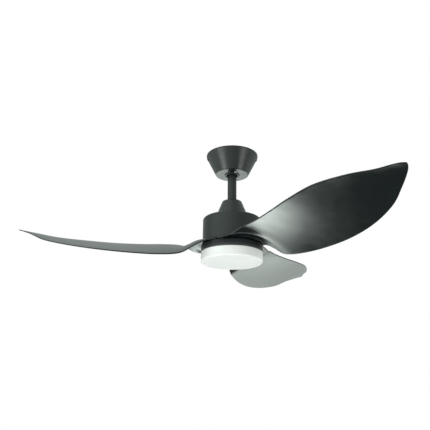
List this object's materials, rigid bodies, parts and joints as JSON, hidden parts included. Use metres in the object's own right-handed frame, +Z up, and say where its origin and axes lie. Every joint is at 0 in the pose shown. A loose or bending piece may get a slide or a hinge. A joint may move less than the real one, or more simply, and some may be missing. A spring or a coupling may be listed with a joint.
{
  "type": "ceiling fan with light",
  "caption": "Ceiling fan on a short downrod, with swept twisted blades, a drum motor housing, a conical canopy and a round opal light.",
  "frame": {"origin": "on the ceiling plane, at the middle of the hanger bracket's top face", "axes": "+Z up into the ceiling, along the downrod and motor shaft; +X along the bracket's line of mounting holes; the view in use looks along +Y"},
  "size_m": [1.0186, 1.1359, 0.3622],
  "materials": {
    "black_metal": "satin powder coat",
    "black_pan": "satin powder coat",
    "blade_plastic": "moulded ABS, satin",
    "black_screws": "black oxide",
    "bright_screws": "zinc plated",
    "zinc_steel": "zinc plated",
    "cast_grey": "as cast",
    "bearing_steel": "ground",
    "rotor_aluminium": "die cast",
    "magnet_grey": "sintered ferrite",
    "silicon_steel": "stacked laminations",
    "copper_wire": "enamelled wire",
    "terminal_brass": "plated",
    "circuit_board": "solder mask",
    "white_board": "white solder mask",
    "led_yellow": "phosphor",
    "capacitor_sleeve": "shrink sleeve",
    "black_plastic": "moulded",
    "nylon": "moulded",
    "lead_jacket": "flexible",
    "opal": "opal acrylic, satin"
  },
  "bodies": {
    "ceiling_mount": {"hanger_bracket": "zinc_steel", "canopy": "black_metal", "canopy_screws": "black_screws", "canopy_trim_ring": "black_plastic", "trim_ring_screws": "bright_screws", "terminal_block": "nylon", "terminal_screws": "terminal_brass", "earth_screw": "bright_screws", "receiver": "black_plastic", "supply_jumper": "lead_jacket"},
    "swing_liner": {"socket_liner": "nylon"},
    "hanging_motor": {"hanger_ball": "black_plastic", "ball_cross_pin": "zinc_steel", "ball_set_screw": "black_screws", "downrod": "black_metal", "motor_lead": "lead_jacket", "lead_connector": "nylon", "coupling_cover": "black_metal", "cover_grub_screw": "black_screws", "motor_yoke": "cast_grey", "clevis_pin": "zinc_steel", "cotter_pin": "zinc_steel", "yoke_set_screws": "black_screws", "motor_housing": "black_metal", "housing_screws": "black_screws", "motor_shaft": "bearing_steel", "stator_core": "silicon_steel", "stator_windings": "copper_wire", "control_board": "circuit_board", "board_capacitors": "capacitor_sleeve", "board_standoffs": "bright_screws", "upper_inner_race": "bearing_steel", "lower_inner_race": "bearing_steel", "shaft_circlip": "black_screws", "light_adapter_plate": "zinc_steel", "shaft_lock_nut": "zinc_steel", "light_pan": "black_pan", "pan_screws": "black_screws", "led_driver": "nylon", "light_lead": "lead_jacket", "led_board": "white_board", "led_chips": "led_yellow", "led_board_screws": "bright_screws"},
    "rotor": {"rotor_bell": "rotor_aluminium", "rotor_magnets": "magnet_grey", "blade_carrier": "rotor_aluminium", "rotor_bolts": "black_screws", "upper_outer_race": "bearing_steel", "lower_outer_race": "bearing_steel", "upper_race_balls": "bearing_steel", "lower_race_balls": "bearing_steel", "blade_1": "blade_plastic", "blade_2": "blade_plastic", "blade_3": "blade_plastic", "blade_screws": "black_screws"},
    "light_cover": {"diffuser": "opal"}
  },
  "joints": [
    {"name": "hanger_swing_x", "type": "hinge", "parent": "ceiling_mount", "child": "swing_liner", "pos_m": [0, 0, -0.042], "axis": [1, 0, 0], "range_deg": [-4, 4]},
    {"name": "hanger_swing_y", "type": "hinge", "parent": "swing_liner", "child": "hanging_motor", "pos_m": [0, 0, -0.042], "axis": [0, 1, 0], "range_deg": [-4, 4]},
    {"name": "rotor_spin", "type": "hinge", "parent": "hanging_motor", "child": "rotor", "pos_m": [0, 0, -0.27], "axis": [0, 0, 1], "continuous": true},
    {"name": "diffuser_twist", "type": "hinge", "parent": "hanging_motor", "child": "light_cover", "pos_m": [0, 0, -0.33], "axis": [0, 0, 1], "range_deg": [0, 18]}
  ]
}
